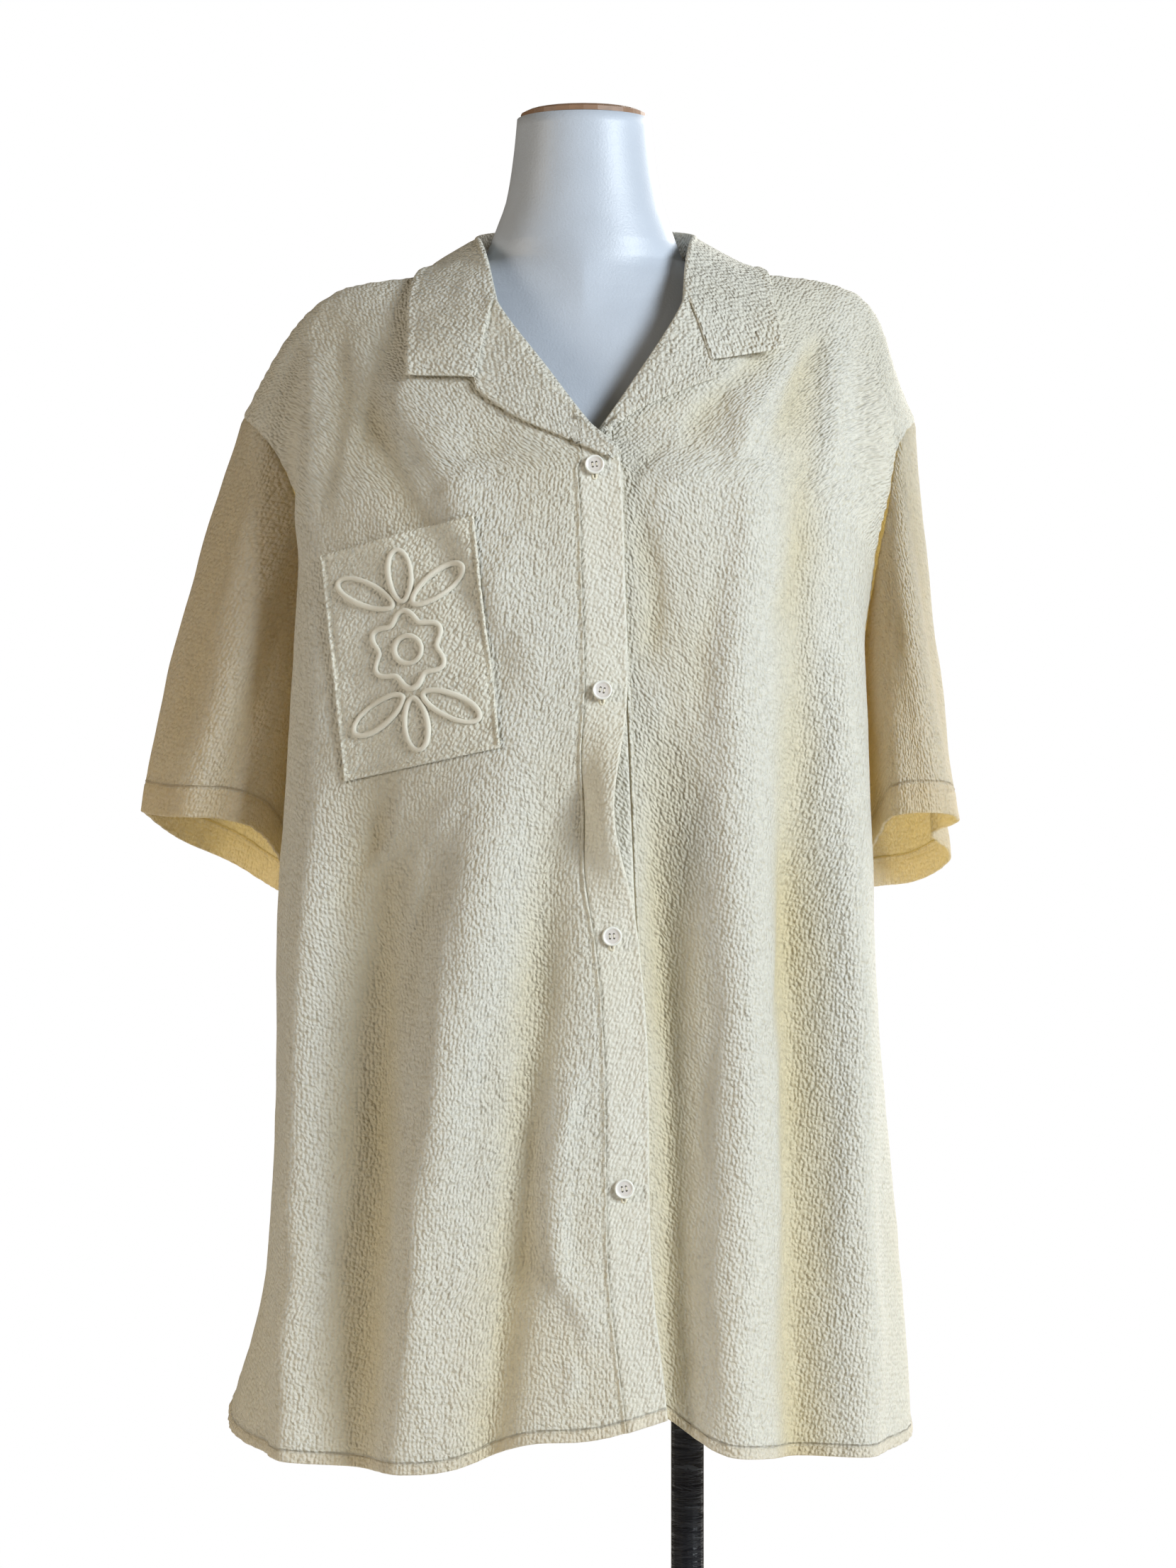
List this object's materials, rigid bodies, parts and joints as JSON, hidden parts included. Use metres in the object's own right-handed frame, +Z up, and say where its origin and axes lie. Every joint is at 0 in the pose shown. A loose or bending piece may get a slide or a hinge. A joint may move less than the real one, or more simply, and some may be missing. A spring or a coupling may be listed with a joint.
{
  "type": "oversized short-sleeved shirt on a dress form with a pole stand",
  "caption": "Oversized button-front shirt with camp collar, short sleeves and a corded chest pocket, worn by a limbless dress form on a pole and round base.",
  "frame": {"origin": "middle of the round base's underside, on the floor", "axes": "+Z up, the shirt's front faces -Y, the wearer's right side is -X"},
  "size_m": [0.5581, 0.328, 1.4994],
  "materials": {
    "shirt_cloth": "crinkled crepe, matt",
    "motif_cord": "satin cord",
    "button_pearl": "satin",
    "form_cloth": "smooth stretched cover, matt",
    "cap_wood": "dark stain",
    "stand_black": "gloss"
  },
  "bodies": {
    "root": {"front_right": "shirt_cloth", "front_left": "shirt_cloth", "back": "shirt_cloth", "sleeve_right": "shirt_cloth", "sleeve_left": "shirt_cloth", "collar": "shirt_cloth", "lapel_right": "shirt_cloth", "lapel_left": "shirt_cloth", "band_right": "shirt_cloth", "band_left": "shirt_cloth", "pocket": "shirt_cloth", "motif_flower": "motif_cord", "motif_ring": "motif_cord", "motif_leaf_1": "motif_cord", "motif_leaf_2": "motif_cord", "motif_leaf_3": "motif_cord", "motif_leaf_4": "motif_cord", "motif_leaf_5": "motif_cord", "motif_leaf_6": "motif_cord", "button_1": "button_pearl", "button_2": "button_pearl", "button_3": "button_pearl", "button_4": "button_pearl", "form": "form_cloth", "form_cap": "cap_wood", "pole": "stand_black", "socket": "stand_black", "base": "stand_black"}
  },
  "joints": []
}
